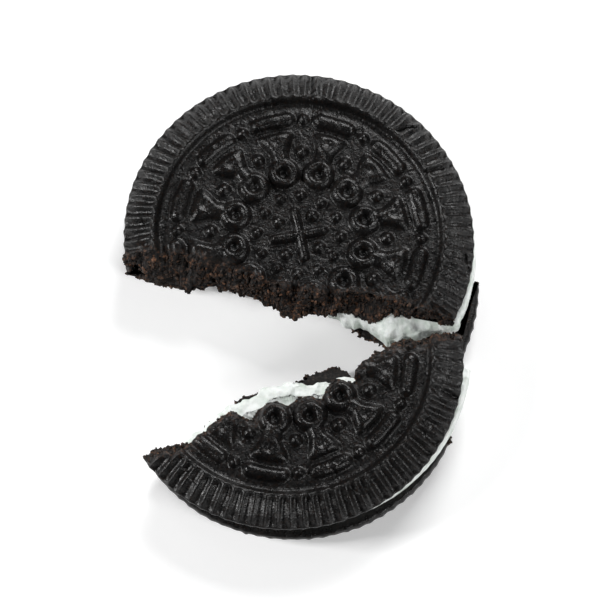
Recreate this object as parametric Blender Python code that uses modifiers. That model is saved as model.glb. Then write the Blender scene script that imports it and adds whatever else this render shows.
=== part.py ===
"""A chocolate sandwich cookie, snapped across and opened like a jaw, lying on a table.

Two moulded wafers hold a layer of cream. The snap runs unevenly through the layers, so each half is
a piece of top wafer, a piece of cream and a piece of bottom wafer, and one more chip of the bottom
wafer lies under the rim where the two halves still touch. Sizes are in metres, +Z is up, and the
cookie stands centred on the origin.
"""

import math

import bmesh
import bpy
import numpy as np
from mathutils import Matrix, Vector

MM = 0.001

# The wafer: a disc with a flat side, a sunk field inside a raised crest, and a ribbed sloping rim.
COOKIE_RADIUS = 22.25 * MM
WAFER_THICKNESS = 3.0 * MM
FIELD_THICKNESS = 2.2 * MM
FIELD_RADIUS = 17.7 * MM
CREST_INNER_RADIUS = 18.2 * MM
CREST_OUTER_RADIUS = 18.9 * MM
WIDEST_HEIGHT = 0.8 * MM
FLAT_SIDE_INSET = 0.4 * MM
RIB_COUNT = 84
RIB_DEPTH = 0.35 * MM

# The moulded pattern repeats twelve times round the field, with a cross in the middle.
PATTERN_FOLDS = 12
PATTERN_ROOT = 1.9 * MM
RELIEF_TOP = 2.85 * MM
LOOP_RING_RADIUS = 8.45 * MM
LOOP_RADIUS = 1.3 * MM
LOOP_WIRE_RADIUS = 0.6 * MM
FAN_OUTLINE = ((9.5, 0.7), (10.6, 0.7), (12.2, 1.6), (13.2, 2.2), (13.8, 1.7))
DASH_RING_RADIUS = 15.4 * MM
DASH_HALF_WIDTH = 0.8 * MM
DASH_HALF_ANGLE = math.radians(8.0)
CROSS_ARM = 3.7 * MM
CROSS_HALF_WIDTH = 0.45 * MM
# Rings of dots: distance from the centre, radius of a dot, dots in the ring.
DOT_RINGS = (
    (3.2 * MM, 0.62 * MM, 4),
    (5.2 * MM, 0.62 * MM, 12),
    (11.2 * MM, 0.72 * MM, 12),
    (15.3 * MM, 0.70 * MM, 12),
)

# The stack of layers, from the table up.
LAYER_GAP = 0.3 * MM
CREAM_THICKNESS = 2.3 * MM
CREAM_RADIUS = 22.0 * MM
CREAM_BULGE = 0.4 * MM
CREAM_STEPS = 60
CREAM_LEVEL = WAFER_THICKNESS + LAYER_GAP
TOP_LEVEL = CREAM_LEVEL + CREAM_THICKNESS + LAYER_GAP

# Where each layer's centre lies, from the centre of the large half's top wafer, and how far the
# small half has swung open. The layers have slid on each other a little.
LARGE_CENTRE = (0.0, 0.0)
LARGE_CREAM_CENTRE = (0.2 * MM, -0.7 * MM)
SMALL_TOP_CENTRE = (-2.0 * MM, -15.1 * MM)
SMALL_CREAM_CENTRE = (-0.7 * MM, -14.3 * MM)
SMALL_BASE_CENTRE = (-0.7 * MM, -15.9 * MM)
CHIP_CENTRE = (0.4 * MM, -4.2 * MM)
LARGE_TURN = math.radians(12.8)
SMALL_TURN = LARGE_TURN + math.radians(37.6)

# The snap lines, from left to right in millimetres from the centre of the large top wafer: x, y, and
# how much further out the layer's lower edge lies than its upper edge.
TOP_LARGE_SNAP = (
    (-22.7, -1.5, 0.7), (-19.7, -1.6, 2.4), (-15.3, -1.8, 3.3), (-13.2, -2.1, 4.0),
    (-9.2, -3.6, 2.2), (-4.4, -5.8, 2.1), (-1.2, -6.2, 3.0), (3.6, -7.3, 2.1),
    (9.7, -7.3, 2.3), (12.6, -8.3, 1.0), (15.6, -9.1, 0.6), (20.5, -10.9, 0.2),
)
TOP_SMALL_SNAP = (
    (-20.6, -28.6, 0.4), (-15.2, -27.6, 1.8), (-13.4, -26.2, 0.0), (-10.8, -24.3, -0.7),
    (-8.6, -22.9, -0.8), (-5.6, -24.1, -0.7), (-2.8, -22.0, -0.8), (1.5, -21.0, -0.8),
    (3.8, -19.1, -0.7), (6.8, -19.0, -0.5), (6.5, -17.4, -0.3), (9.4, -14.9, -0.3),
    (12.4, -14.1, 1.3), (17.0, -13.3, 1.4), (20.6, -12.3, 0.2),
)
CREAM_LARGE_SNAP = (
    (-21.9, -2.2, 0), (-12.0, -3.5, 0), (-6.0, -5.0, 0), (0.0, -7.2, 0), (4.3, -9.6, 0),
    (5.4, -10.7, 0), (8.2, -10.3, 0), (11.3, -13.3, 0), (14.0, -12.2, 0), (22.4, -10.4, 0),
)
CREAM_SMALL_SNAP = (
    (-18.6, -28.6, 0), (-14.4, -25.6, 0), (-10.3, -21.5, 0), (-5.2, -18.7, 0), (-1.4, -18.0, 0),
    (3.0, -18.2, 0), (5.5, -17.1, 0), (8.4, -17.3, 0), (12.0, -15.2, 0), (17.0, -15.4, 0),
    (21.6, -16.8, 0),
)
BASE_LARGE_SNAP = (
    (-22.4, -2.6, 0), (-17.4, -3.9, 0.5), (-10.0, -4.2, 0), (-1.0, -6.5, 0.2), (4.5, -7.3, 0.2),
    (9.0, -6.2, 0), (15.0, -3.9, 0), (22.6, -2.7, 0),
)
BASE_SMALL_SNAP = (
    (-20.6, -29.4, 0), (-14.5, -25.2, 0), (-9.5, -20.6, 0), (-7.0, -18.7, 0.2), (-4.0, -18.6, 0),
    (-0.5, -16.9, 0.1), (4.4, -15.3, 0.2), (7.2, -16.6, 0), (15.0, -15.2, 0), (17.9, -17.4, 0),
    (17.8, -23.5, 0), (18.8, -27.2, 0),
)
# The chip's own line runs from the rim inwards and back out to the rim.
BASE_CHIP_SNAP = (
    (22.9, -3.9, 0), (16.0, -5.0, 0), (10.0, -7.6, 0), (6.0, -9.4, 0), (8.2, -9.9, 1.7),
    (10.6, -11.9, 0.2), (11.4, -12.9, 0), (14.0, -13.7, 0), (21.3, -13.7, 0),
)

# How the broken edges are drawn: the step between points, and how far a point is pushed.
SNAP_STEP = 1.1 * MM
SNAP_ROUGHNESS = 0.16 * MM
CUTTER_OVERSHOOT = 0.5 * MM
CUTTER_FAR = 5.0 * MM
CUTTER_ARC_POINTS = 24

MERGE_DISTANCE = 0.001 * MM


def new_collection(name):
    collection = bpy.data.collections.new(name)
    bpy.context.scene.collection.children.link(collection)
    return collection


def new_material(name, colour, roughness):
    material = bpy.data.materials.new(name)
    material.use_nodes = True
    shader = material.node_tree.nodes["Principled BSDF"]
    shader.inputs["Base Color"].default_value = (*colour, 1.0)
    shader.inputs["Roughness"].default_value = roughness
    shader.inputs["Metallic"].default_value = 0.0
    return material


def new_object(name, data):
    obj = bpy.data.objects.new(name, data)
    bpy.context.scene.collection.objects.link(obj)
    return obj


def turned_about_axis(angle, place=(0.0, 0.0, 0.0)):
    """The matrix that moves a shape to a place and then turns it about the wafer's axis."""
    return Matrix.Rotation(angle, 4, "Z") @ Matrix.Translation(place)


def taken_mesh(obj):
    """The object's finished mesh, modifiers applied and doubles merged; the object is removed."""
    bpy.context.view_layer.update()
    graph = bpy.context.evaluated_depsgraph_get()
    mesh = bpy.data.meshes.new_from_object(obj.evaluated_get(graph))
    bpy.data.objects.remove(obj)
    merge_doubles(mesh)
    return mesh


def merge_doubles(mesh):
    shape = bmesh.new()
    shape.from_mesh(mesh)
    bmesh.ops.remove_doubles(shape, verts=shape.verts, dist=MERGE_DISTANCE)
    shape.to_mesh(mesh)
    shape.free()


def turned_mesh(name, profile, steps):
    """A profile of (radius, height) pairs, from the axis on top out and down to the axis, spun about Z."""
    line = bpy.data.meshes.new(name)
    points = [(radius, 0.0, height) for radius, height in profile]
    line.from_pydata(points, [(i, i + 1) for i in range(len(points) - 1)], [])
    obj = new_object(name, line)
    screw = obj.modifiers.new("Spin", "SCREW")
    screw.steps = steps
    screw.render_steps = steps
    screw.use_merge_vertices = True
    screw.merge_threshold = MERGE_DISTANCE
    return taken_mesh(obj)


def raised_mesh(name, outline):
    """A flat outline of (x, y) pairs, extruded from under the field to the top of the relief."""
    curve = bpy.data.curves.new(name, "CURVE")
    curve.dimensions = "2D"
    curve.fill_mode = "BOTH"
    curve.extrude = (RELIEF_TOP - PATTERN_ROOT) / 2
    spline = curve.splines.new("POLY")
    spline.points.add(len(outline) - 1)
    for point, (x, y) in zip(spline.points, outline):
        point.co = (x, y, 0.0, 1.0)
    spline.use_cyclic_u = True
    mesh = taken_mesh(new_object(name, curve))
    mesh.transform(Matrix.Translation((0.0, 0.0, (RELIEF_TOP + PATTERN_ROOT) / 2)))
    return mesh


def joined_mesh(first, second):
    """The Boolean union of two meshes."""
    target = new_object("union", first)
    tool = new_object("union_tool", second)
    join = target.modifiers.new("Join", "BOOLEAN")
    join.operation = "UNION"
    join.object = tool
    mesh = taken_mesh(target)
    bpy.data.objects.remove(tool)
    return mesh


def fan():
    """The flared end of one motif, on +X."""
    right = [(x * MM, -half * MM) for x, half in FAN_OUTLINE]
    left = [(x * MM, half * MM) for x, half in reversed(FAN_OUTLINE)]
    return raised_mesh("fan", right + left)


def loop_and_fan():
    """One whole motif on +X: a round loop whose neck opens outwards into a fan."""
    bpy.ops.mesh.primitive_torus_add(
        major_segments=10, minor_segments=4, major_radius=LOOP_RADIUS, minor_radius=LOOP_WIRE_RADIUS
    )
    torus = bpy.context.object
    loop = torus.data.copy()
    bpy.data.objects.remove(torus)
    loop.transform(Matrix.Translation((LOOP_RING_RADIUS, 0.0, FIELD_THICKNESS)))
    return joined_mesh(loop, fan())


def dash():
    """One bar of the outer ring, on +X, bent to the ring and pointed round at its ends."""
    outline = []
    for side in (1, -1):
        radius = DASH_RING_RADIUS + side * DASH_HALF_WIDTH
        for share in (-1.0, -0.35, 0.35, 1.0):
            angle = side * share * DASH_HALF_ANGLE
            outline.append((radius * math.cos(angle), radius * math.sin(angle)))
        tip = side * (DASH_HALF_ANGLE + 0.7 * DASH_HALF_WIDTH / DASH_RING_RADIUS)
        outline.append((DASH_RING_RADIUS * math.cos(tip), DASH_RING_RADIUS * math.sin(tip)))
    return raised_mesh("dash", outline)


def cross():
    """The plain cross in the middle: four like arms, pointed round at their outer ends."""
    shoulder = CROSS_ARM - CROSS_HALF_WIDTH
    arm = (
        (CROSS_HALF_WIDTH, -CROSS_HALF_WIDTH),
        (shoulder, -CROSS_HALF_WIDTH),
        (CROSS_ARM, 0.0),
        (shoulder, CROSS_HALF_WIDTH),
    )
    outline = []
    for quarter in range(4):
        turn = Matrix.Rotation(quarter * math.tau / 4, 2)
        outline += [tuple(turn @ Vector(point)) for point in arm]
    return raised_mesh("cross", outline)


def dot(radius):
    shape = bmesh.new()
    bmesh.ops.create_uvsphere(shape, u_segments=6, v_segments=4, radius=radius)
    mesh = bpy.data.meshes.new("dot")
    shape.to_mesh(mesh)
    shape.free()
    return mesh


def pattern_mesh(full):
    """What stands up from the field, as separate closed shapes in one mesh. The underside's pattern is
    left at its fans and dashes."""
    pattern = bmesh.new()

    def repeat(mesh, count, distance=0.0, height=0.0, phase=0.0):
        for i in range(count):
            copy = mesh.copy()
            copy.transform(turned_about_axis(phase + i * math.tau / count, (distance, 0.0, height)))
            pattern.from_mesh(copy)

    repeat(loop_and_fan() if full else fan(), PATTERN_FOLDS)
    repeat(dash(), PATTERN_FOLDS)
    if full:
        repeat(cross(), 1)
        # An eighth of a turn puts the dots between the bars, and between the motifs too.
        for distance, radius, count in DOT_RINGS:
            repeat(dot(radius), count, distance, FIELD_THICKNESS, phase=math.tau / 8)
    mesh = bpy.data.meshes.new("pattern")
    pattern.to_mesh(mesh)
    pattern.free()
    return mesh


def wafer_mesh(full_pattern):
    """A whole wafer, flat side down at z = 0: a disc turned with two steps to a rib. At the edge every
    second step is pressed in, and from the crest inwards it is folded onto its neighbour."""
    disc = turned_mesh("disc", [
        (0.0, FIELD_THICKNESS),
        (FIELD_RADIUS, FIELD_THICKNESS),
        (CREST_INNER_RADIUS, WAFER_THICKNESS),
        (CREST_OUTER_RADIUS, WAFER_THICKNESS),
        (COOKIE_RADIUS, WIDEST_HEIGHT),
        (COOKIE_RADIUS - FLAT_SIDE_INSET, 0.0),
        (0.0, 0.0),
    ], 2 * RIB_COUNT)
    rib_pitch = math.tau / RIB_COUNT
    for vertex in disc.vertices:
        radius = math.hypot(vertex.co.x, vertex.co.y)
        angle = math.atan2(vertex.co.y, vertex.co.x)
        if radius > CREST_OUTER_RADIUS + RIB_DEPTH:
            radius -= RIB_DEPTH * (1 - math.cos(RIB_COUNT * angle)) / 2
        else:
            angle = rib_pitch * math.floor(angle / rib_pitch + 0.25)
        vertex.co.x = radius * math.cos(angle)
        vertex.co.y = radius * math.sin(angle)
    merge_doubles(disc)
    return joined_mesh(disc, pattern_mesh(full_pattern))


def cream_mesh():
    """A whole disc of cream, flat side down at z = 0, its edge a little bulged."""
    return turned_mesh("cream_disc", [
        (0.0, CREAM_THICKNESS),
        (CREAM_RADIUS - CREAM_BULGE, CREAM_THICKNESS),
        (CREAM_RADIUS, CREAM_THICKNESS / 2),
        (CREAM_RADIUS - CREAM_BULGE, 0.0),
        (0.0, 0.0),
    ], CREAM_STEPS)


def rough_line(snap, seed):
    """The snap line at an even step, each point pushed a little: arrays of (x, y) and of run."""
    rows = np.array(snap, float) * MM
    along = np.concatenate([[0.0], np.cumsum(np.hypot(*np.diff(rows[:, :2], axis=0).T))])
    at = np.linspace(0.0, along[-1], int(along[-1] / SNAP_STEP))
    line = np.stack([np.interp(at, along, column) for column in rows.T], axis=1)
    push = np.random.default_rng(seed).uniform(-SNAP_ROUGHNESS, SNAP_ROUGHNESS, line.shape)
    line[1:-1] += push[1:-1]
    return line[:, :2], line[:, 2]


def far_arc(centre, start, end):
    """Points well outside the cookie, counter-clockwise from the direction of start to that of end."""
    first = math.atan2(start[1] - centre[1], start[0] - centre[0])
    last = math.atan2(end[1] - centre[1], end[0] - centre[0])
    if last <= first:
        last += math.tau
    angles = np.linspace(first, last, CUTTER_ARC_POINTS)
    radius = COOKIE_RADIUS + CUTTER_FAR
    return np.stack([centre[0] + radius * np.cos(angles), centre[1] + radius * np.sin(angles)], axis=1)


def snap_cutter(name, snap, centre, low, high, outward, seed, collection):
    """The space one broken piece keeps. The snap line is closed by a far arc, and the outline is lofted
    from the piece's upper edge through a rough middle to its lower edge. outward is 1 or -1: the way
    along Y that a sloping broken face runs out."""
    line, run = rough_line(snap, seed)
    if outward > 0:
        line = line[::-1]
        run = run[::-1]
    arc = far_arc(centre, line[-1], line[0])
    ring = np.concatenate([line, arc])
    slope = np.concatenate([run, np.zeros(len(arc))]) * outward
    rough = np.zeros(len(ring))
    rough[1:len(line) - 1] = np.random.default_rng(seed + 1).uniform(-1, 1, len(line) - 2) * SNAP_ROUGHNESS

    # The slope carries on past both faces, so that it meets them at the stated edges.
    depth = high - low
    over = CUTTER_OVERSHOOT / depth
    points = []
    for share, shaken in ((1 + over, 0), (0.5, 1), (-over, 0)):
        y = ring[:, 1] + slope * (1 - share) + rough * shaken
        z = np.full(len(ring), low + share * depth)
        points += np.stack([ring[:, 0], y, z], axis=1).tolist()
    count = len(ring)
    faces = [tuple(range(count)), tuple(range(3 * count - 1, 2 * count - 1, -1))]
    for upper in (0, count):
        for i in range(count):
            j = (i + 1) % count
            faces.append((upper + j, upper + i, upper + count + i, upper + count + j))
    mesh = bpy.data.meshes.new(name)
    mesh.from_pydata(points, [], faces)
    cutter = bpy.data.objects.new(name, mesh)
    collection.objects.link(cutter)
    cutter.hide_render = True
    cutter.display_type = "WIRE"
    return cutter


def broken_piece(name, whole, material, centre, level, turn, snap, outward, seed, upside_down=False):
    """One piece of a layer: the whole disc in its place, kept only inside its own cutter. centre is the
    disc's centre in plan, and level is the height of its underside."""
    height = CREAM_THICKNESS if whole is cream else WAFER_THICKNESS
    piece = bpy.data.objects.new(name, whole.copy())
    parts.objects.link(piece)
    piece.parent = root
    piece.data.materials.clear()
    piece.data.materials.append(material)
    piece.location = (centre[0], centre[1], level + height if upside_down else level)
    piece.rotation_euler = (math.pi if upside_down else 0.0, 0.0, turn)
    piece.data.shade_smooth()
    piece.data.set_sharp_from_angle(angle=math.radians(35))
    cutter = snap_cutter(name + "_space", snap, centre, level, level + height, outward, seed, cutters)
    cutter.parent = root
    keep = piece.modifiers.new("Snap", "BOOLEAN")
    keep.operation = "INTERSECT"
    keep.object = cutter
    return piece


def centre_on_footprint(pieces):
    """Moves the cookie so that its bounding box stands centred on the origin."""
    bpy.context.view_layer.update()
    graph = bpy.context.evaluated_depsgraph_get()
    corners = []
    for piece in pieces:
        solid = piece.evaluated_get(graph)
        corners += [solid.matrix_world @ vertex.co for vertex in solid.data.vertices]
    low = np.min(corners, axis=0)
    high = np.max(corners, axis=0)
    root.location = (-(low[0] + high[0]) / 2, -(low[1] + high[1]) / 2, -low[2])


for leftover in list(bpy.data.objects):
    bpy.data.objects.remove(leftover)

parts = new_collection("sandwich_cookie")
cutters = new_collection("cutters")
root = bpy.data.objects.new("cookie_origin", None)
parts.objects.link(root)

wafer_brown = new_material("baked cocoa wafer", (0.013, 0.012, 0.011), 0.55)
cream_white = new_material("vanilla cream", (0.82, 0.84, 0.80), 0.45)

top_wafer = wafer_mesh(full_pattern=True)
base_wafer = wafer_mesh(full_pattern=False)
cream = cream_mesh()

pieces = [
    broken_piece("wafer_base_large", base_wafer, wafer_brown, LARGE_CENTRE, 0.0, -LARGE_TURN,
                 BASE_LARGE_SNAP, -1, 11, upside_down=True),
    broken_piece("wafer_base_small", base_wafer, wafer_brown, SMALL_BASE_CENTRE, 0.0, -SMALL_TURN,
                 BASE_SMALL_SNAP, 1, 12, upside_down=True),
    broken_piece("wafer_base_chip", base_wafer, wafer_brown, CHIP_CENTRE, 0.0, -LARGE_TURN,
                 BASE_CHIP_SNAP, -1, 13, upside_down=True),
    broken_piece("cream_large", cream, cream_white, LARGE_CREAM_CENTRE, CREAM_LEVEL, 0.0,
                 CREAM_LARGE_SNAP, -1, 14),
    broken_piece("cream_small", cream, cream_white, SMALL_CREAM_CENTRE, CREAM_LEVEL, 0.0,
                 CREAM_SMALL_SNAP, 1, 15),
    broken_piece("wafer_top_large", top_wafer, wafer_brown, LARGE_CENTRE, TOP_LEVEL, LARGE_TURN,
                 TOP_LARGE_SNAP, -1, 16),
    broken_piece("wafer_top_small", top_wafer, wafer_brown, SMALL_TOP_CENTRE, TOP_LEVEL, SMALL_TURN,
                 TOP_SMALL_SNAP, 1, 17),
]
centre_on_footprint(pieces)
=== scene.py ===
import math

import bmesh
import bpy
import numpy as np
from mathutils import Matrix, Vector


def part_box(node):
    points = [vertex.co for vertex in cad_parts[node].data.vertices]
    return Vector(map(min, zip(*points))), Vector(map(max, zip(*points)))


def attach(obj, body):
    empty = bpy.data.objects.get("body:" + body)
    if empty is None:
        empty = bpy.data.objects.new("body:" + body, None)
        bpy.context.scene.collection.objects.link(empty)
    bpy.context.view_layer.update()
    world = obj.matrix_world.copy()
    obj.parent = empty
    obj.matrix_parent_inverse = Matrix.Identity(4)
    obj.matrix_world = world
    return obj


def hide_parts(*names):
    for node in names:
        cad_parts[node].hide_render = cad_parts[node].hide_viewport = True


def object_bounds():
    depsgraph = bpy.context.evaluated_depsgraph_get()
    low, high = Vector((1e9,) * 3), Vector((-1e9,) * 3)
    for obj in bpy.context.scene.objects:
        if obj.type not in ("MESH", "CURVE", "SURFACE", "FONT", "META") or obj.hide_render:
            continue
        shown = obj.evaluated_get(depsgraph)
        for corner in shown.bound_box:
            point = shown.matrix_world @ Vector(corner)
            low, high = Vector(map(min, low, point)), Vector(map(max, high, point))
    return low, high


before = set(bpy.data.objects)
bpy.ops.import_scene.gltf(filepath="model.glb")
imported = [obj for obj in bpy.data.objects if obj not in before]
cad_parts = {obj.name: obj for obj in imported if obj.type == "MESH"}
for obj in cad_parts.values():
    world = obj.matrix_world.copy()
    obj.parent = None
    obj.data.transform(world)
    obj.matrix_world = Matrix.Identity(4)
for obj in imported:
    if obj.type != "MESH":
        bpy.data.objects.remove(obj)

MM = 0.001
cad_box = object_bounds()

# ---------------------------------------------------------------------------------------------------
# Bottom wafers. Two baked cocoa biscuits begin as one disc, stamped with a mould, and the cookie's
# bottom one has snapped into a large piece, a small piece and a chip that stays under the rim.
# Each is a polar surface, cut along its snap line and closed with a crumbly wall and a flat side.
# ---------------------------------------------------------------------------------------------------

# The wafer's sizes, in mm. The flat side is at height 0 and the crest at WAFER_HEIGHT.
WAFER_RADIUS = 22.25
WAFER_HEIGHT = 3.0
FIELD_HEIGHT = 2.02
CREST_RADIUS = 18.5
WIDEST_HEIGHT = 0.8
LIP_INSET = 0.45
# The rim's section, from the channel outside the field over the crest to the widest place.
RIM_PROFILE = (
    (16.6, FIELD_HEIGHT), (17.1, 1.93), (17.7, 1.98), (18.15, 2.80), (CREST_RADIUS, 3.02), (18.9, 2.92),
    (19.5, 2.60), (20.5, 2.20), (21.3, 1.80), (21.9, 1.30), (WAFER_RADIUS, WIDEST_HEIGHT),
)
RIBS = 84
RIB_DEPTH = 0.50
COLUMNS = RIBS * 10
ROW_STEP = 0.17
LAST_ROWS = (0.28, 0.15, 0.06, 0.0)
LIP_ROWS = 5
WALL_ROWS = 22

# The moulded pattern: how far out each ring of shapes lies, and the shapes' sizes.
RELIEF = 1.05
FOLDS = 12
LOOP_RING, LOOP_RADIUS, LOOP_HALF_WIDTH = 8.45, 1.30, 0.82
NECK_HALF_WIDTH, FLARE_START, FLARE = 1.25, 11.2, 0.60
FAN_INNER, FAN_OUTER, DIMPLE_RING = 9.0, 14.05, 12.6
DASH_RING, DASH_HALF_LENGTH, DASH_HALF_WIDTH = 15.55, 2.0, 1.02
DOT_RINGS = ((5.2, 0.80), (11.2, 0.95), (15.45, 0.82))
CROSS_ARM, CROSS_HALF_WIDTH = 3.0, 0.75
CENTRE_DOT_RING, CENTRE_DOT_RADIUS = 3.1, 0.85
# How far the pattern is turned, and how far the small half has swung open.
PATTERN_TURN = math.radians(12.8)
OPENING = math.radians(37.6)

# The centre of the large top wafer is the point that every place below is measured from, in mm.
large_low, large_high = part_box("wafer_top_large")
HOME = np.array([large_high.x, large_high.y]) / MM - WAFER_RADIUS
BASE_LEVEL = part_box("wafer_base_large")[0].z / MM
TOP_LEVEL = large_low.z / MM
CREAM_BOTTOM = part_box("wafer_base_large")[1].z / MM
LARGE_CENTRE = np.array([-0.32, 0.60])
SMALL_BASE_CENTRE = np.array([-1.0, -16.2])
CHIP_CENTRE = np.array([0.4, -4.2])

# Snap lines from left to right: x, y, and how much further out the edge on the flat side lies.
BASE_LARGE_SNAP = (
    (-22.4, -2.6, 0), (-17.4, -3.9, 0.5), (-10.0, -4.2, 0), (-1.0, -6.5, 0.2), (4.5, -7.3, 0.2),
    (9.0, -6.2, 0), (15.0, -3.9, 0), (22.6, -2.7, 0),
)
BASE_SMALL_SNAP = (
    (-20.6, -29.8, 0), (-14.5, -26.0, 0), (-9.5, -21.2, 0), (-7.0, -19.3, 0.2), (-4.0, -18.9, 0),
    (-0.5, -17.1, 0.1), (4.4, -15.3, 0.2), (7.2, -16.6, 0), (15.0, -15.2, 0), (17.9, -17.4, 0),
    (17.8, -23.5, 0), (18.8, -27.2, 0),
)
BASE_CHIP_SNAP = (
    (22.9, -3.9, 0), (16.0, -5.0, 0), (10.0, -7.6, 0), (6.0, -9.4, 0), (8.2, -9.9, 1.7),
    (10.6, -11.9, 0.2), (11.4, -12.9, 0), (14.0, -13.7, 0), (21.3, -13.7, 0),
)


def lumps(points, size, seed):
    """Soft random lumps in space, from -1 to 1: random values on a lattice with one point each size,
    blended between the eight nearest lattice points by a smooth step along each axis."""
    table = np.random.default_rng(seed).uniform(-1, 1, 4096)
    spot = points / size
    cell = np.floor(spot).astype(np.int64)
    part = spot - cell
    part = part * part * (3 - 2 * part)
    total = np.zeros(len(points))
    for corner in np.ndindex(2, 2, 2):
        key = (cell + corner) @ np.array([73856093, 19349663, 83492791])
        weight = np.prod(np.where(corner, part, 1 - part), axis=1)
        total += weight * table[key % 4096]
    return total


def pockets(points, size, seed):
    """Air pockets with sharp ridges between them, from -1 to 1: one less twice the size of soft lumps,
    so the ridges run where the lumps cross zero."""
    return 1 - 2 * np.abs(lumps(points, size, seed)) ** 0.8


def flat_lumps(xy, size, seed):
    return lumps(np.column_stack([xy, np.zeros(len(xy))]), size, seed)


def drift(xy, size, seed):
    """Lumps in both directions at once, to push places about in plan."""
    return np.column_stack([flat_lumps(xy, size, seed), flat_lumps(xy, size, seed + 1)])


def smooth_step(low, high, value):
    share = np.clip((value - low) / (high - low), 0, 1)
    return share * share * (3 - 2 * share)


def pillow(distance, width):
    """Height from 0 to 1 of a rounded shape: its signed distance over a width, on a parabola."""
    share = np.clip(-distance / width, 0, 1)
    return share * (2 - share)


def rounded_corner(*distances):
    """The largest of some distances in mm, blended where two are alike, which rounds the corner."""
    return np.log(sum(np.exp(2.6 * distance) for distance in distances)) / 2.6


def folded(angle, count, phase=0.0):
    """The angle from the nearest of count even directions."""
    fold = math.tau / count
    return (angle - phase + fold / 2) % fold - fold / 2


def moulding(x, y):
    """The moulded pattern's height, from 0 to 1, at places in mm from the wafer's centre. Each shape is
    a signed distance made into a pillow, and the highest shape at a place counts."""
    radius = np.hypot(x, y)
    angle = np.arctan2(y, x)
    fold = math.tau / FOLDS

    # Twelve loops, each with a neck that flares into a rounded fan with a dimple.
    turned = folded(angle, FOLDS)
    along = radius * np.cos(turned)
    across = radius * np.sin(turned)
    loop = pillow(np.abs(np.hypot(along - LOOP_RING, across) - LOOP_RADIUS) - LOOP_HALF_WIDTH, 0.80)
    flare = (np.abs(across) - NECK_HALF_WIDTH - FLARE * np.clip(along - FLARE_START, 0, 9)) * 0.85
    fan = pillow(rounded_corner(flare, radius - FAN_OUTER, FAN_INNER - along), 0.95)
    dimple = 0.28 * np.exp(-((along - DIMPLE_RING) ** 2 + across ** 2) / 0.5 ** 2)
    height = np.maximum(loop, fan - dimple)

    # Twelve dashes round the outside.
    end = np.clip(np.abs(turned) * DASH_RING - DASH_HALF_LENGTH, 0, 9)
    dash = np.hypot(end, radius - DASH_RING) - DASH_HALF_WIDTH
    height = np.maximum(height, 0.95 * pillow(dash, 0.85))

    # Rings of dots between the loops, the fans and the dashes.
    between = folded(angle, FOLDS, fold / 2)
    for ring, size in DOT_RINGS:
        dot = np.hypot(radius * np.cos(between) - ring, radius * np.sin(between)) - size
        height = np.maximum(height, 0.9 * pillow(dot, size))

    # A plain cross in the middle, with four more dots between its arms.
    quarter = folded(angle, 4)
    past_end = np.clip(radius * np.cos(quarter) - CROSS_ARM, 0, 9)
    arm = np.hypot(past_end, radius * np.sin(quarter)) - CROSS_HALF_WIDTH
    height = np.maximum(height, pillow(arm, 0.72))
    eighth = folded(angle, 4, math.tau / 8)
    from_dot = np.hypot(radius * np.cos(eighth) - CENTRE_DOT_RING, radius * np.sin(eighth))
    return np.maximum(height, 0.9 * pillow(from_dot - CENTRE_DOT_RADIUS, CENTRE_DOT_RADIUS))


def snap_path(snap, seed, roughness):
    """A snap line at every 0.1 mm, roughened: places (x, y), outward normals of the smoothed line, and
    runs. The line is pushed by lumps of 2.6, 1.1 and 0.45 mm, the smaller the less."""
    rows = np.array(snap, float)
    along = np.concatenate([[0.0], np.cumsum(np.hypot(*np.diff(rows[:, :2], axis=0).T))])
    at = np.arange(0.0, along[-1], 0.1)
    path = np.stack([np.interp(at, along, column) for column in rows.T], axis=1)
    window = np.hanning(31)
    window /= window.sum()
    padded = np.pad(path, ((15, 15), (0, 0)), mode="edge")
    soft = np.stack([np.convolve(column, window, mode="valid") for column in padded.T], axis=1)
    step = np.gradient(soft[:, :2], axis=0)
    normal = np.stack([step[:, 1], -step[:, 0]], axis=1)
    normal /= np.linalg.norm(normal, axis=1)[:, None]
    place = 0.5 * (path[:, :2] + soft[:, :2])
    for size, share in ((2.6, 0.5), (1.1, 0.33), (0.45, 0.26)):
        place = place + roughness * share * drift(place, size, seed)
    return place, normal, soft[:, 2]


def arc_ends(place, centre, below):
    """The angles at which an arc that closes a snap line starts and ends, above it or below it."""
    first, last = place[-1] - centre, place[0] - centre
    start = math.atan2(first[1], first[0])
    end = math.atan2(last[1], last[0])
    if below:
        return start, end - math.tau if end > start else end
    return start, end + math.tau if end < start else end


def closed_outline(place, centre, below):
    """The snap line closed by an arc well outside the wafer."""
    angles = np.linspace(*arc_ends(place, centre, below), 40)
    arc = centre + (WAFER_RADIUS + 5) * np.stack([np.cos(angles), np.sin(angles)], axis=1)
    return np.concatenate([place, arc])


def is_inside(xy, outline):
    """Whether each place is inside the outline, by counting the edges a line to its right meets."""
    result = np.zeros(len(xy), bool)
    ends = np.roll(outline, -1, axis=0)
    for (x0, y0), (x1, y1) in zip(outline, ends):
        if y0 != y1:
            meets = (y0 > xy[:, 1]) != (y1 > xy[:, 1])
            result ^= meets & (xy[:, 0] < x0 + (xy[:, 1] - y0) * (x1 - x0) / (y1 - y0))
    return result


def nearest(xy, place):
    """For each place in xy, the index of the nearest point of a line and the distance to it."""
    index = np.empty(len(xy), int)
    gap = np.empty(len(xy))
    for start in range(0, len(xy), 8000):
        part = xy[start:start + 8000]
        square = (part[:, :1] - place[:, 0]) ** 2 + (part[:, 1:] - place[:, 1]) ** 2
        index[start:start + 8000] = square.argmin(axis=1)
        gap[start:start + 8000] = np.sqrt(square.min(axis=1))
    return index, gap


def ring_quads(row, column, count):
    """Quads from each row to the next of a grid whose columns, count in all, close into a ring."""
    after = (column + 1) % count
    return np.stack([
        row * count + column, (row + 1) * count + column,
        (row + 1) * count + after, row * count + after,
    ], axis=1)


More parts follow.
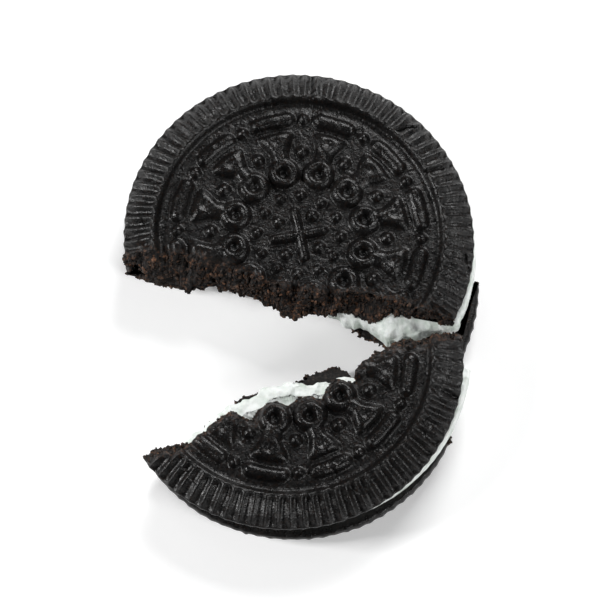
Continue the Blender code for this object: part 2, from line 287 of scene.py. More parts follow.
def finished_piece(name, points, quads, triangles, marks, material, node, smooth=True):
    """A mesh object from arrays in mm. Open edges are closed with flat faces, and marks are numbers
    from 0 to 1 at each point for the material to read."""
    mesh = bpy.data.meshes.new(name)
    mesh.from_pydata((points * MM).tolist(), [], quads.tolist() + triangles.tolist())
    for mark, values in marks.items():
        mesh.attributes.new(mark, "FLOAT", "POINT").data.foreach_set("value", values.astype(np.float32))
    shape = bmesh.new()
    shape.from_mesh(mesh)
    loose = [v for v in shape.verts if not v.link_faces]
    bmesh.ops.delete(shape, geom=loose, context="VERTS")
    for face in shape.faces:
        face.smooth = smooth
    rim = [edge for edge in shape.edges if edge.is_boundary]
    if rim:
        filled = bmesh.ops.holes_fill(shape, edges=rim, sides=0)["faces"]
        bmesh.ops.triangulate(shape, faces=filled)
    bmesh.ops.recalc_face_normals(shape, faces=shape.faces)
    shape.to_mesh(mesh)
    shape.free()
    mesh.materials.append(material)
    piece = bpy.data.objects.new(name, mesh)
    bpy.context.scene.collection.objects.link(piece)
    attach(piece, "root")
    if node:
        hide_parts(node)
    return piece


def rim_height(radius):
    """The section's height at a radius: the profile's straight runs, averaged over 0.3 mm."""
    corners = np.array(RIM_PROFILE).T
    shifts = np.linspace(-0.15, 0.15, 7)
    return np.mean([np.interp(radius + shift, *corners) for shift in shifts], axis=0)


def section_rows():
    """The section from the middle out, as radii and heights: rows at an even step, closer ones at the
    widest place, then the lip's rows on a quarter ellipse down to the flat side."""
    even = np.arange(0.25, WAFER_RADIUS - 0.4, ROW_STEP)
    radii = np.concatenate([even, WAFER_RADIUS - np.array(LAST_ROWS)])
    bend = np.linspace(0, math.pi / 2, LIP_ROWS + 1)[1:]
    heights = np.concatenate([rim_height(radii), WIDEST_HEIGHT * (1 - np.sin(bend))])
    heights[len(radii) - 1] = WIDEST_HEIGHT
    return np.concatenate([radii, WAFER_RADIUS - LIP_INSET * (1 - np.cos(bend))]), heights


def stamped_disc(turn, cracks, seed):
    """The whole disc on a polar grid of rows by angles: radius, height, angle, and how far the pattern
    stands up there. Ribs press the flank in by a cosine of the angle to the power of 1.5."""
    radii, heights = section_rows()
    radius = np.repeat(radii, COLUMNS)
    height = np.repeat(heights, COLUMNS)
    angle = np.tile(np.arange(COLUMNS) * math.tau / COLUMNS, len(radii))
    flat = np.column_stack([radius * np.cos(angle - turn), radius * np.sin(angle - turn)])
    # The dough takes the mould a little unevenly.
    uneven = flat + 0.16 * drift(flat, 4.2, seed)
    uneven = uneven + 0.06 * drift(flat, 0.9, seed)
    raised = moulding(uneven[:, 0], uneven[:, 1]) * (radius < CREST_RADIUS - 0.7)
    height = height + raised * RELIEF * (0.9 + 0.18 * flat_lumps(flat, 5.0, seed + 2))

    rib_phase = RIBS * (angle - turn) / 2 + 0.2 * flat_lumps(flat, 3.0, seed + 3)
    on_flank = smooth_step(CREST_RADIUS - 0.4, CREST_RADIUS + 0.9, radius)
    groove = np.abs(np.cos(rib_phase)) ** 1.5 * on_flank
    groove = groove * (0.85 + 0.35 * flat_lumps(flat, 2.0, seed + 4))
    groove = groove * (1 - 0.75 * smooth_step(0.55, 0.0, height - WIDEST_HEIGHT))
    radius = radius - RIB_DEPTH * groove
    height = height - 0.34 * groove * smooth_step(0.0, 1.0, height)
    grain = 0.6 * flat_lumps(flat, 0.55, seed + 5) + 0.6 * flat_lumps(flat, 0.26, seed + 6)
    face = smooth_step(0.1, 0.8, height)
    bumps = 0.035 * flat_lumps(flat, 1.3, seed + 8) + 0.02 * flat_lumps(flat, 0.75, seed + 14)
    height = height + (0.025 * grain + bumps) * face
    # Baking opens fine wandering cracks, most of all along the channel and the crest.
    vein = np.exp(-(flat_lumps(flat, 1.5, seed + 9) / 0.045) ** 2)
    at_crest = np.abs(radius - 18.3) < 1.8
    patch = smooth_step(0.0, 0.5, flat_lumps(flat, 3.3, seed + 10) + 0.35 * at_crest)
    height = height - 0.16 * vein * patch * face
    for x0, y0, x1, y1 in cracks:
        start, line = np.array([x0, y0]), np.array([x1 - x0, y1 - y0])
        here = np.column_stack([radius * np.cos(angle), radius * np.sin(angle)]) - start
        here = here + 0.16 * drift(here, 0.7, seed)
        foot = np.clip(here @ line / (line @ line), 0, 1)
        off = np.linalg.norm(here - foot[:, None] * line, axis=1)
        height = height - 0.6 * np.exp(-(off / 0.14) ** 2) * face
    return radius, np.minimum(height, WAFER_HEIGHT), angle, raised


def kept_faces(inside):
    """Which faces of the grid stay, from whether each of its points is inside the outline. A face stays
    only with two neighbours, and two faces that share just a corner both go."""
    right = np.roll(inside, -1, axis=1)
    keep = inside[:-1] & inside[1:] & right[:-1] & right[1:]
    for _ in range(3):
        around = sum(np.roll(keep, s, axis=1).astype(int) for s in (1, -1))
        around[1:] += keep[:-1]
        around[:-1] += keep[1:]
        around[0] += 1
        around[-1] += 1
        keep &= around >= 2
        beside = np.roll(keep, -1, axis=1)
        pinch = keep[:-1] & beside[1:] & ~keep[1:] & ~beside[:-1]
        other = beside[:-1] & keep[1:] & ~keep[:-1] & ~beside[1:]
        keep[:-1] &= ~(pinch | other)
        keep[1:] &= ~(pinch | other)
    return keep


def broken_edges(quads, row_count, centre_kept):
    """The edges that only one face has, as pairs of points in that face's order, without the ring at
    the lip's foot and the ring round the middle."""
    forward = np.concatenate([quads[:, [k, (k + 1) % 4]] for k in range(4)])
    total = row_count * COLUMNS
    codes = forward[:, 0] * total + forward[:, 1]
    edges = forward[~np.isin(codes, forward[:, 1] * total + forward[:, 0])]
    ring = edges // COLUMNS
    at_foot = (ring == row_count - 1).all(axis=1)
    round_middle = (ring == 0).all(axis=1) & centre_kept
    return edges[~(at_foot | round_middle)]


def crumbly_wall(start, outward, run, hollows, seed):
    """A broken wall from its upper edge down to the flat side: full of air pockets, with sharp thin
    ridges. Returns its rows, and how far each point stands up among the ridges: the material paints
    the ridges lighter brown, partly the crumb's own colour, baked browner, and partly painted light
    through thin edges, and it paints the pits darker, which is painted shade."""
    thin = smooth_step(0.2, 1.0, start[:, 2])
    wall, ridges = [], []
    for step in np.linspace(0, 1, WALL_ROWS + 1)[1:]:
        ragged = 1 + 0.35 * flat_lumps(start[:, :2], 1.6, seed + 13) * step
        base = np.column_stack([
            start[:, :2] + outward * (run * ragged * step ** 0.85)[:, None],
            start[:, 2] * (1 - step),
        ])
        swell = min(1.0, 6 * step) * (1.0 if step < 1 else 0.5)
        push = 0.46 * pockets(base, 1.25, seed + 20) + 0.26 * pockets(base, 0.58, seed + 21)
        push = push + 0.13 * pockets(base, 0.3, seed + 24)
        # How far each point stands out: the material paints the ridges lighter as painted light and the
        # pits darker as painted shade.
        ridges.append(smooth_step(0.15, 0.75, push))
        push = push + 0.35 * lumps(base, 3.0, seed + 22) - 0.25
        for x, y, size, depth in hollows:
            away = ((base[:, 0] - x) / size) ** 2 + ((base[:, 1] - y) / size) ** 2
            push = push - depth * np.exp(-away) * math.sin(math.pi * step) ** 0.7
        base[:, :2] += outward * (push * swell * thin)[:, None]
        rise = 0.22 * lumps(base, 0.6, seed + 23) + 0.1 * lumps(base, 0.3, seed + 25)
        base[:, 2] += rise * swell * thin * (step < 1)
        base[:, 2] = np.clip(base[:, 2], 0, WAFER_HEIGHT)
        wall.append(base)
    return wall, ridges


wall_places = {}


def wafer_piece(name, node, centre, level, turn, snap, below, seed, material, face_down=False,
                cracks=(), hollows=(), chipped=None, oval=0.0, share=1.0, roughness=0.45):
    """One snapped piece of wafer. Faces of the stamped disc past the snap line are dropped, edge points
    are set on the line, and a crumbly wall runs from there down to the flat side, further out by the
    line's run. Hollows are (x, y, radius, depth) in the wall, chipped is a range of angles where the
    lip has broken away, oval is how far the disc is out of round along a line up to the left, and share
    is how much of the full size it has baked to."""
    radius, height, angle, raised = stamped_disc(turn, cracks, seed)
    row_count = len(radius) // COLUMNS
    radius = radius + oval * np.cos(2 * (angle - math.radians(135))) * (radius / WAFER_RADIUS) ** 4
    radius = radius * share
    lip_gone = np.zeros(len(radius))
    if chipped:
        low, high = np.radians(chipped)
        back = angle - math.tau
        inside = smooth_step(low, low + 0.12, back) * smooth_step(high, high - 0.12, back)
        ragged = np.column_stack([radius * np.cos(angle), radius * np.sin(angle), 2 * height])
        lip_gone = inside * smooth_step(WAFER_RADIUS - 0.9, WAFER_RADIUS - 0.3, radius)
        radius = radius - lip_gone * np.clip(0.25 + 0.45 * pockets(ragged, 1.0, seed + 11), 0, 1)

    xy = centre + np.column_stack([radius * np.cos(angle), radius * np.sin(angle)])
    place, normal, run = snap_path(snap, seed + 10, roughness)
    inside = is_inside(xy, closed_outline(place, centre, below))
    keep = kept_faces(inside.reshape(row_count, COLUMNS))
    centre_kept = keep[0].all()
    quads = ring_quads(*np.nonzero(keep), COLUMNS)
    edges = broken_edges(quads, row_count, centre_kept)

    # The broken edge's points move onto the snap line, and the edge is worn down.
    rim = np.unique(edges)
    index, gap = nearest(xy, place)
    close = rim[gap[rim] < 0.4]
    xy[close] = place[index[close]]
    nearness = np.exp(-gap / 0.35)
    crumble = 0.5 + 0.5 * flat_lumps(xy, 0.7, seed + 7)
    fine_crumble = 0.12 * np.exp(-gap / 0.8) * flat_lumps(xy, 0.35, seed + 12)
    worn_edge = 0.55 * nearness * crumble + fine_crumble
    height = height - worn_edge * smooth_step(0.2, 1.2, height)

    points = np.column_stack([xy, height])
    top_points = len(points)
    middle = np.array([[centre[0], centre[1], height[:COLUMNS].mean()]])
    points = np.concatenate([points, middle])
    ring = np.arange(COLUMNS)
    spokes = np.stack([np.full(COLUMNS, top_points), ring, (ring + 1) % COLUMNS], axis=1)
    triangles = spokes if centre_kept else spokes[:0]

    outward = normal[index[rim]] * (-1 if below else 1)
    wall, ridges = crumbly_wall(points[rim], outward, run[index[rim]], hollows, seed)
    points = np.concatenate([points] + wall)
    number = np.full(top_points + 1, -1)
    number[rim] = np.arange(len(rim))
    first, second = number[edges[:, 0]], number[edges[:, 1]]
    strips = []
    for step in range(WALL_ROWS):
        lower = top_points + 1 + step * len(rim)
        upper_first = edges[:, 0] if step == 0 else lower - len(rim) + first
        upper_second = edges[:, 1] if step == 0 else lower - len(rim) + second
        strips.append(np.stack([upper_second, upper_first, lower + first, lower + second], axis=1))
    quads = np.concatenate([quads] + strips)

    on_wall = np.ones(len(points) - top_points - 1)
    marks = {
        "broken": np.concatenate([np.maximum(nearness, lip_gone), [0.0], on_wall]),
        "raised": np.concatenate([raised, [0.0], 0 * on_wall]),
        # Near the snap this mark is a middle value. On the wall it carries painted light on the ridges
        # and painted shade in the pits.
        "brown_light_and_shade": np.concatenate([0.5 * np.maximum(nearness, lip_gone), [0.0]] + ridges),
    }
    if face_down:
        points[:, 2] = WAFER_HEIGHT - points[:, 2]
    points[:, 2] += level
    points[:, :2] += HOME
    wall_places[name] = points[top_points + 1:]
    return finished_piece(name, points, quads, triangles, marks, material, node)


def linear(hex_colour):
    """An sRGB hex colour as linear red, green, blue and alpha."""
    values = [int(hex_colour[k:k + 2], 16) / 255 for k in (1, 3, 5)]
    return (*[v / 12.92 if v <= 0.04045 else ((v + 0.055) / 1.055) ** 2.4 for v in values], 1.0)


def per_mm(size):
    """A pattern's scale for a feature of this many mm, on coordinates in metres."""
    return 1 / (size * MM)


def add_node(material, kind, settings=(), **inputs):
    """A node with its settings, and its inputs by name: a value, or another node's output socket."""
    node = material.node_tree.nodes.new(kind)
    for key, value in dict(settings).items():
        setattr(node, key, value)
    for key, value in inputs.items():
        socket = node.inputs[int(key[1:])] if key[0] == "i" and key[1:].isdigit() else node.inputs[key]
        if isinstance(value, bpy.types.NodeSocket):
            material.node_tree.links.new(value, socket)
        else:
            socket.default_value = value
    return node


def ramp_stops(node, stops):
    """Sets a colour ramp's stops to (position, colour) pairs."""
    for element in list(node.color_ramp.elements)[1:]:
        node.color_ramp.elements.remove(element)
    node.color_ramp.elements[0].position = stops[0][0]
    node.color_ramp.elements[0].color = stops[0][1]
    for position, colour in stops[1:]:
        node.color_ramp.elements.new(position).color = colour


def new_material(name):
    material = bpy.data.materials.new(name)
    material.use_nodes = True
    return material, material.node_tree.nodes["Principled BSDF"]


def link(material, output, socket):
    material.node_tree.links.new(output, socket)


def baked_cocoa_wafer():
    """Baked cocoa wafer: alkalised cocoa makes it nearly black, the baked face is finely grained with a
    thin greasy sheen, and where it has snapped it shows browner crumb with a few orange-brown specks.
    The crumb is painted darkest in its pits, which is painted shade, and lighter brown on its ridges,
    partly its own baked colour and partly painted light."""
    material, shader = new_material("baked cocoa wafer")
    place = add_node(material, "ShaderNodeTexCoord").outputs["Object"]
    broken = add_node(material, "ShaderNodeAttribute", {"attribute_name": "broken"}).outputs["Fac"]
    raised = add_node(material, "ShaderNodeAttribute", {"attribute_name": "raised"}).outputs["Fac"]
    brown_light_and_shade = add_node(material, "ShaderNodeAttribute", {"attribute_name": "brown_light_and_shade"}).outputs["Fac"]

    cloud = add_node(material, "ShaderNodeTexNoise", Vector=place, Scale=per_mm(3.5), Detail=4.0)
    grain = add_node(material, "ShaderNodeTexNoise", Vector=place, Scale=per_mm(0.32), Detail=3.0,
                     Roughness=0.6)
    speck = add_node(material, "ShaderNodeTexNoise", Vector=place, Scale=per_mm(0.38), Detail=2.0)
    face = add_node(material, "ShaderNodeValToRGB", Fac=cloud.outputs["Fac"])
    ramp_stops(face, [(0.30, linear("#060606")), (0.52, linear("#0b0a0a")), (0.75, linear("#121110"))])
    # Grain plus the mark from the wall, which adds painted light on the ridges and painted shade in the
    # pits.
    crumb_tone_and_painted_shade = add_node(material, "ShaderNodeMath", {"operation": "MULTIPLY_ADD"}, i0=brown_light_and_shade, i1=0.24,
                     i2=grain.outputs["Fac"])
    crumb = add_node(material, "ShaderNodeValToRGB", Fac=crumb_tone_and_painted_shade.outputs["Value"])
    # The darkest stop is the painted shade of the pits.
    ramp_stops(crumb, [(0.44, linear("#030202")), (0.60, linear("#140f0c")), (0.78, linear("#402e22"))])
    spots = add_node(material, "ShaderNodeValToRGB", Fac=speck.outputs["Fac"])
    ramp_stops(spots, [(0.53, (0, 0, 0, 1)), (0.68, (1, 1, 1, 1))])

    body = add_node(material, "ShaderNodeMix", {"data_type": "RGBA"}, i0=broken,
                    i6=face.outputs["Color"], i7=crumb.outputs["Color"])
    # Orange-brown specks, most of all on the ridges, where they are partly painted light.
    amount = add_node(material, "ShaderNodeMath", {"operation": "MULTIPLY_ADD"}, i0=brown_light_and_shade, i1=0.85,
                      i2=0.03)
    spotted = add_node(material, "ShaderNodeMath", {"operation": "MULTIPLY"}, i0=spots.outputs["Color"],
                       i1=amount.outputs["Value"])
    colour = add_node(material, "ShaderNodeMix", {"data_type": "RGBA"}, i0=spotted.outputs["Value"],
                      i6=body.outputs[2], i7=linear("#7a5238"))
    link(material, colour.outputs[2], shader.inputs["Base Color"])

    gloss = add_node(material, "ShaderNodeMapRange", i0=grain.outputs["Fac"], i1=0.40, i2=0.60,
                     i3=0.42, i4=0.26)
    # Broken crumb is duller, and the raised pattern is rubbed a little smoother.
    multiply_add = {"operation": "MULTIPLY_ADD", "use_clamp": True}
    dull = add_node(material, "ShaderNodeMath", multiply_add, i0=broken, i1=0.35,
                    i2=gloss.outputs["Result"])
    worn = add_node(material, "ShaderNodeMath", multiply_add, i0=raised, i1=-0.05,
                    i2=dull.outputs["Value"])
    link(material, worn.outputs["Value"], shader.inputs["Roughness"])
    shader.inputs["Specular IOR Level"].default_value = 0.32

    fine = add_node(material, "ShaderNodeTexNoise", Vector=place, Scale=per_mm(0.17), Detail=1.0)
    coarse_bump = add_node(material, "ShaderNodeBump", Strength=1.0, Distance=0.055 * MM,
                           Height=grain.outputs["Fac"])
    fine_bump = add_node(material, "ShaderNodeBump", Strength=1.0, Distance=0.045 * MM,
                         Height=fine.outputs["Fac"], Normal=coarse_bump.outputs["Normal"])
    link(material, fine_bump.outputs["Normal"], shader.inputs["Normal"])
    return material


wafer_material = baked_cocoa_wafer()

wafer_piece("base_wafer_large", "wafer_base_large", LARGE_CENTRE, BASE_LEVEL, PATTERN_TURN,
            BASE_LARGE_SNAP, False, 100, wafer_material, face_down=True)
wafer_piece("base_wafer_small", "wafer_base_small", SMALL_BASE_CENTRE, BASE_LEVEL,
            PATTERN_TURN + OPENING, BASE_SMALL_SNAP, True, 200, wafer_material, face_down=True,
            chipped=(-118, -68), share=0.97)
wafer_piece("base_wafer_chip", "wafer_base_chip", CHIP_CENTRE, BASE_LEVEL, PATTERN_TURN,
            BASE_CHIP_SNAP, False, 300, wafer_material, face_down=True)

# ---------------------------------------------------------------------------------------------------
# Cream. A layer of white fat-and-sugar cream, deposited soft and set between the wafers. It has torn
# along its own line and been squeezed out past the rim a little. Each piece is a pillow on a curve:
# the outline, drawn in towards a pole for the flats, with a rounded, wrinkled edge.
# ---------------------------------------------------------------------------------------------------

CREAM_RADIUS = 22.0
CREAM_OVERLAP = 0.03
OUTLINE_POINTS = 1000
CREAM_ROUGHNESS = 0.8
LARGE_CREAM_CENTRE = np.array([0.2, -0.7])
SMALL_CREAM_CENTRE = np.array([-0.7, -14.3])
CREAM_LARGE_SNAP = (
    (-21.9, -2.2, 0), (-12.0, -3.5, 0), (-6.0, -5.0, 0), (0.0, -7.2, 0), (4.3, -9.6, 0),
    (5.4, -10.7, 0), (8.2, -10.3, 0), (11.3, -13.3, 0), (14.0, -12.2, 0), (22.4, -10.4, 0),
)
CREAM_SMALL_SNAP = (
    (-18.6, -28.6, 0), (-14.4, -25.6, 0), (-10.3, -21.5, 0), (-5.2, -18.7, 0), (-1.4, -18.0, 0),
    (3.0, -18.2, 0), (5.5, -17.1, 0), (8.4, -17.3, 0), (12.0, -15.2, 0), (17.0, -15.4, 0),
    (21.6, -16.8, 0),
)


def cream_piece(name, node, centre, snap, below, pole, slope, seed, material):
    """One torn piece of the cream layer. Its outline is the torn line inside the rim's circle, then the
    rim's arc, at even steps. Rows run from the pole out over the top, round the edge and back under:
    each row is the outline moved towards the pole by its inset, at its height. Towards the tear the top
    sinks by the slope's depth over its length, and lumps."""
    place, _, _ = snap_path(snap, seed, CREAM_ROUGHNESS)
    place = place[np.linalg.norm(place - centre, axis=1) < CREAM_RADIUS]
    angles = np.linspace(*arc_ends(place, centre, below), 500)[1:-1]
    arc = centre + CREAM_RADIUS * np.stack([np.cos(angles), np.sin(angles)], axis=1)
    outline = np.concatenate([place, arc, place[:1]])
    along = np.concatenate([[0.0], np.cumsum(np.hypot(*np.diff(outline, axis=0).T))])
    at = np.arange(OUTLINE_POINTS) * along[-1] / OUTLINE_POINTS
    outline = np.stack([np.interp(at, along, column) for column in outline.T], axis=1)
    window = np.hanning(9) / np.hanning(9).sum()
    ring = np.concatenate([outline[-4:], outline, outline[:4]])
    outline = np.stack([np.convolve(column, window, mode="valid") for column in ring.T], axis=1)
    tear_gap = nearest(outline, place)[1]

    top = TOP_LEVEL + CREAM_OVERLAP
    bottom = CREAM_BOTTOM - CREAM_OVERLAP
    to_pole = pole - outline
    reach = np.linalg.norm(to_pole, axis=1)
    inward = to_pole / reach[:, None]
    keeps = np.concatenate([[0.02, 0.25, 0.5, 0.75], np.ones(34)])
    insets = np.concatenate([[0] * 4, np.geomspace(6.0, 0.5, 34)])
    bend = np.linspace(0, math.pi, 17)
    rows = [(keep, inset, top) for keep, inset in zip(keeps, insets)]
    # A round edge stands out furthest at its middle.
    rows += [(1.0, 0.5 - 0.5 * np.sin(a) ** 0.8, bottom + (top - bottom) * (0.5 + 0.5 * np.cos(a)))
             for a in bend]
    rows += [(keep, inset, bottom) for keep, inset in zip(keeps[::-3], insets[::-3])]
    rows = np.array(rows)

    keep, inset, level = (np.repeat(column, OUTLINE_POINTS) for column in rows.T)
    edge = np.tile(outline, (len(rows), 1))
    inward_all = np.tile(inward, (len(rows), 1))
    move = np.minimum(inset, np.tile(reach, len(rows)) * 0.8)
    spot = edge + inward_all * move[:, None]
    spot = pole + (spot - pole) * keep[:, None]
    points = np.column_stack([spot, level])
    torn = np.tile(np.exp(-tear_gap / 1.5), len(rows))
    on_edge = np.clip(1 - inset / 0.6, 0, 1) * (keep == 1)

    # Tearing leaves upright folds on the edge, and lumps and smears on top.
    upright = points * np.array([1, 1, 0.22])
    fold = 0.34 * lumps(upright, 0.95, seed + 2) + 0.14 * pockets(points, 0.6, seed + 3)
    points[:, :2] += inward_all * (fold * (0.15 + 0.85 * torn) * on_edge)[:, None]
    share = np.clip((level - bottom) / (top - bottom), 0, 1)
    tear_near = np.tile(np.exp(-tear_gap / 2.5), len(rows)) * (keep == 1)
    depth, length = slope
    sink = depth * np.exp(-inset / length)
    lump = 0.22 * lumps(points, 1.5, seed + 4) + 0.12 * lumps(points, 0.7, seed + 5)
    lump = lump + 0.07 * lumps(points, 0.35, seed + 6) + 0.16 * pockets(points, 1.2, seed + 7)
    points[:, 2] += share * tear_near * (lump * np.exp(-inset / 3.2) - sink)
    points[:, 2] = np.clip(points[:, 2], bottom, top + 0.25 * tear_near)

    row, column = np.indices((len(rows) - 1, OUTLINE_POINTS)).reshape(2, -1)
    quads = ring_quads(row, column, OUTLINE_POINTS)
    points[:, :2] += HOME
    return finished_piece(name, points, quads, quads[:0, :3], {"torn": torn}, material, node)


def vanilla_cream():
    """Vanilla cream: sugar in white fat, set firm. Light goes a little way in, the torn faces are matt
    with fine sugar grain, and it is a cool white with a faint green-grey in its folds."""
    material, shader = new_material("vanilla cream")
    place = add_node(material, "ShaderNodeTexCoord").outputs["Object"]
    cloud = add_node(material, "ShaderNodeTexNoise", Vector=place, Scale=per_mm(1.6), Detail=4.0)
    tint = add_node(material, "ShaderNodeValToRGB", Fac=cloud.outputs["Fac"])
    ramp_stops(tint, [(0.36, linear("#c6cfc7")), (0.50, linear("#d9deda")), (0.64, linear("#e4e7e5"))])
    link(material, tint.outputs["Color"], shader.inputs["Base Color"])
    shader.inputs["Roughness"].default_value = 0.5
    shader.inputs["Specular IOR Level"].default_value = 0.35
    shader.inputs["Subsurface Weight"].default_value = 0.25
    shader.inputs["Subsurface Radius"].default_value = (1.0, 0.95, 0.9)
    shader.inputs["Subsurface Scale"].default_value = 0.6 * MM
    sugar = add_node(material, "ShaderNodeTexNoise", Vector=place, Scale=per_mm(0.4), Detail=3.0)
    bump = add_node(material, "ShaderNodeBump", Strength=0.8, Distance=0.14 * MM,
                    Height=sugar.outputs["Fac"])
    link(material, bump.outputs["Normal"], shader.inputs["Normal"])
    return material


cream_material = vanilla_cream()
cream_piece("cream_layer_large", "cream_large", LARGE_CREAM_CENTRE, CREAM_LARGE_SNAP, False,
            np.array([0.0, 8.0]), (0.7, 1.0), 400, cream_material)
cream_piece("cream_layer_small", "cream_small", SMALL_CREAM_CENTRE, CREAM_SMALL_SNAP, True,
            np.array([0.0, -26.0]), (1.1, 1.6), 500, cream_material)

# ---------------------------------------------------------------------------------------------------
# Top wafers. The same stamped biscuit, pattern side up, snapped into a large and a small piece. The
# large piece's broken face slopes out a few millimetres, and some ribs are cracked.
# ---------------------------------------------------------------------------------------------------

SMALL_TOP_CENTRE = np.array([-1.8, -15.3])
TOP_LARGE_SNAP = (
    (-22.7, -1.5, 0.7), (-19.7, -1.6, 2.4), (-15.3, -1.8, 3.3), (-13.2, -2.1, 4.0),
    (-9.2, -3.6, 2.2), (-4.4, -5.8, 2.1), (-1.2, -6.2, 3.0), (3.6, -7.3, 2.1),
    (9.7, -7.3, 2.3), (12.6, -8.3, 1.0), (15.6, -9.1, 0.6), (20.5, -10.9, 0.2),
)
TOP_SMALL_SNAP = (
    (-20.6, -28.6, 0.4), (-15.2, -27.6, 1.8), (-13.4, -26.2, 0.0), (-10.8, -24.3, -0.7),
    (-8.6, -22.9, -0.8), (-6.0, -24.0, -0.7), (-5.4, -22.2, -0.7), (-3.6, -21.3, -0.7),
    (-1.6, -22.1, -0.8), (-0.8, -21.0, -0.8), (0.9, -20.7, -0.8), (2.7, -21.0, -0.8),
    (2.9, -19.2, -0.7), (4.3, -18.3, -0.7), (6.8, -19.0, -0.5), (6.5, -17.4, -0.3),
    (9.4, -14.9, -0.3), (12.4, -14.1, 1.3), (17.0, -13.3, 1.4), (20.6, -12.3, 0.2),
)
# Cracks in the rim, from (x, y) to (x, y) in mm from each wafer's own centre.
LARGE_CRACKS = ((15.0, 14.9, 12.4, 14.0), (18.4, 9.3, 16.2, 8.3), (20.8, -2.3, 21.4, -4.3))
SMALL_CRACKS = ((19.5, 2.5, 21.8, 2.1), (19.5, -4.4, 21.5, -5.2))
# A deep hollow under the large piece's edge, and a shallower one near its left end.
LARGE_HOLLOWS = ((8.6, -8.6, 2.3, 2.2), (-14.5, -3.6, 1.6, 1.0))

wafer_piece("top_wafer_large", "wafer_top_large", LARGE_CENTRE, TOP_LEVEL, PATTERN_TURN,
            TOP_LARGE_SNAP, False, 600, wafer_material, cracks=LARGE_CRACKS, hollows=LARGE_HOLLOWS,
            oval=0.2)
wafer_piece("top_wafer_small", "wafer_top_small", SMALL_TOP_CENTRE, TOP_LEVEL, PATTERN_TURN + OPENING,
            TOP_SMALL_SNAP, True, 700, wafer_material, cracks=SMALL_CRACKS)

# ---------------------------------------------------------------------------------------------------
# Crumbs. Snapping leaves loose crumb standing on the broken faces. Each crumb is a lumpy little ball,
# and all the crumbs of one wafer piece are one joined mesh.
# ---------------------------------------------------------------------------------------------------


def crumb_ball(across=5, down=4):
    """A ball of radius 1 with poles: its points, and its faces as quads and triangles."""
    polar = np.linspace(0, math.pi, down + 1)[1:-1]
    around = np.arange(across) * math.tau / across
    p, a = np.meshgrid(polar, around, indexing="ij")
    points = np.stack([np.sin(p) * np.cos(a), np.sin(p) * np.sin(a), np.cos(p)], axis=-1).reshape(-1, 3)
    points = np.concatenate([points, [[0, 0, 1], [0, 0, -1]]])
    row, column = np.indices((down - 2, across)).reshape(2, -1)
    quads = ring_quads(row, column, across)
    ring = np.arange(across)
    last = (down - 2) * across
    top = np.stack([np.full(across, len(points) - 2), ring, (ring + 1) % across], axis=1)
    low = np.stack([np.full(across, len(points) - 1), last + (ring + 1) % across, last + ring], axis=1)
    return points, quads, np.concatenate([top, low])


def crumbs(name, source, count, smallest, largest, seed, low, high):
    """Crumbs at random places of a wafer's broken wall: each ball is stretched, turned and dented."""
    rng = np.random.default_rng(seed)
    ball, quads, triangles = crumb_ball()
    places = wall_places[source][rng.integers(0, len(wall_places[source]), count)]
    size = smallest + (largest - smallest) * rng.random(count) ** 5
    stretch = rng.uniform(0.55, 1.3, (count, 1, 3))
    dents = rng.uniform(0.6, 1.3, (count, len(ball), 1))
    turns = np.linalg.qr(rng.normal(size=(count, 3, 3)))[0]
    shapes = (ball[None] * dents * stretch) @ turns * size[:, None, None] / 2
    points = places[:, None] + shapes
    points[..., 2] = np.clip(points[..., 2], low, high)
    points = points.reshape(-1, 3)
    offset = (np.arange(count) * len(ball))[:, None, None]
    all_quads = (quads[None] + offset).reshape(-1, 4)
    all_triangles = (triangles[None] + offset).reshape(-1, 3)
    # Each crumb gets a random value on the same mark, so some crumbs are browner and some darker.
    brown = np.repeat(rng.random(count) ** 2, len(ball))
    marks = {"broken": np.ones(len(points)), "raised": np.zeros(len(points)), "brown_light_and_shade": brown}
    return finished_piece(name, points, all_quads, all_triangles, marks, wafer_material, None,
                          smooth=False)


TOP_HEIGHT = large_high.z / MM
crumbs("crumbs_top_large", "top_wafer_large", 3600, 0.12, 0.75, 31, TOP_LEVEL, TOP_HEIGHT)
crumbs("crumbs_top_small", "top_wafer_small", 2200, 0.12, 0.6, 32, TOP_LEVEL, TOP_HEIGHT)
crumbs("crumbs_base_large", "base_wafer_large", 1500, 0.12, 0.6, 33, BASE_LEVEL, CREAM_BOTTOM)
crumbs("crumbs_base_small", "base_wafer_small", 2000, 0.12, 0.6, 34, BASE_LEVEL, CREAM_BOTTOM)
crumbs("crumbs_base_chip", "base_wafer_chip", 1000, 0.12, 0.6, 35, BASE_LEVEL, CREAM_BOTTOM)

# ---------------------------------------------------------------------------------------------------
# The set: a plain white floor, a soft main light from behind that throws the shadow forwards, two
# smaller lights at the sides that pick out the ribs, and the camera above.
# ---------------------------------------------------------------------------------------------------

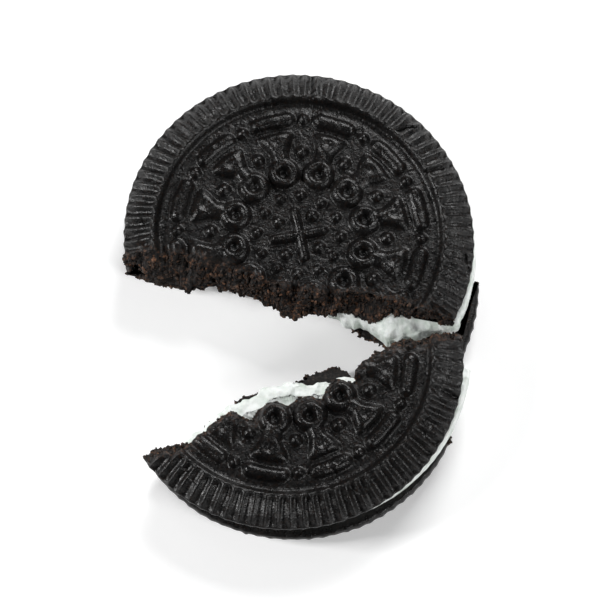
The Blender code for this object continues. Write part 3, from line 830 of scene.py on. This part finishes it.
FLOOR_SIZE = 3.0
bpy.ops.mesh.primitive_plane_add(size=FLOOR_SIZE, location=(0, 0, cad_box[0].z))
floor = bpy.context.object
floor.name = "floor"
floor_material, floor_shader = new_material("white paper floor")
floor_shader.inputs["Base Color"].default_value = linear("#f4f4f4")
floor_shader.inputs["Roughness"].default_value = 0.9
floor_shader.inputs["Specular IOR Level"].default_value = 0.1
# It is a light table: the white sheet glows a little, which keeps the shadows on it pale.
floor_shader.inputs["Emission Color"].default_value = linear("#ffffff")
floor_shader.inputs["Emission Strength"].default_value = 0.21
floor.data.materials.append(floor_material)

world = bpy.data.worlds.new("studio")
bpy.context.scene.world = world
world.use_nodes = True
world.node_tree.nodes["Background"].inputs["Color"].default_value = linear("#fbfcff")
world.node_tree.nodes["Background"].inputs["Strength"].default_value = 0.07


def softbox(name, place, size, power):
    """A square lamp aimed at the cookie."""
    lamp = bpy.data.lights.new(name, "AREA")
    lamp.size = size
    lamp.energy = power
    holder = bpy.data.objects.new(name, lamp)
    holder.location = place
    holder.rotation_euler = (-Vector(place)).to_track_quat("-Z", "Y").to_euler()
    bpy.context.scene.collection.objects.link(holder)


softbox("back", (0.20, 0.56, 0.43), 0.34, 5.0)
softbox("left", (-0.56, -0.02, 0.33), 0.14, 3.5)
softbox("right", (0.50, -0.35, 0.42), 0.26, 2.4)

# The camera looks down at 72 degrees, far enough away for the little perspective there is.
CAMERA_ELEVATION = math.radians(72)
CAMERA_DISTANCE = 0.50
VIEW_WIDTH = 0.0771
VIEW_CENTRE = HOME + np.array([0.59, -8.43])
aim = Vector((*VIEW_CENTRE, TOP_LEVEL + WIDEST_HEIGHT)) * MM
camera_data = bpy.data.cameras.new("camera")
camera_data.lens = camera_data.sensor_width * CAMERA_DISTANCE / VIEW_WIDTH
camera = bpy.data.objects.new("camera", camera_data)
back = Vector((0, -math.cos(CAMERA_ELEVATION), math.sin(CAMERA_ELEVATION)))
camera.location = aim + back * CAMERA_DISTANCE
camera.rotation_euler = (-back).to_track_quat("-Z", "Y").to_euler()
bpy.context.scene.collection.objects.link(camera)
bpy.context.scene.camera = camera
bpy.context.scene.view_settings.view_transform = "Standard"
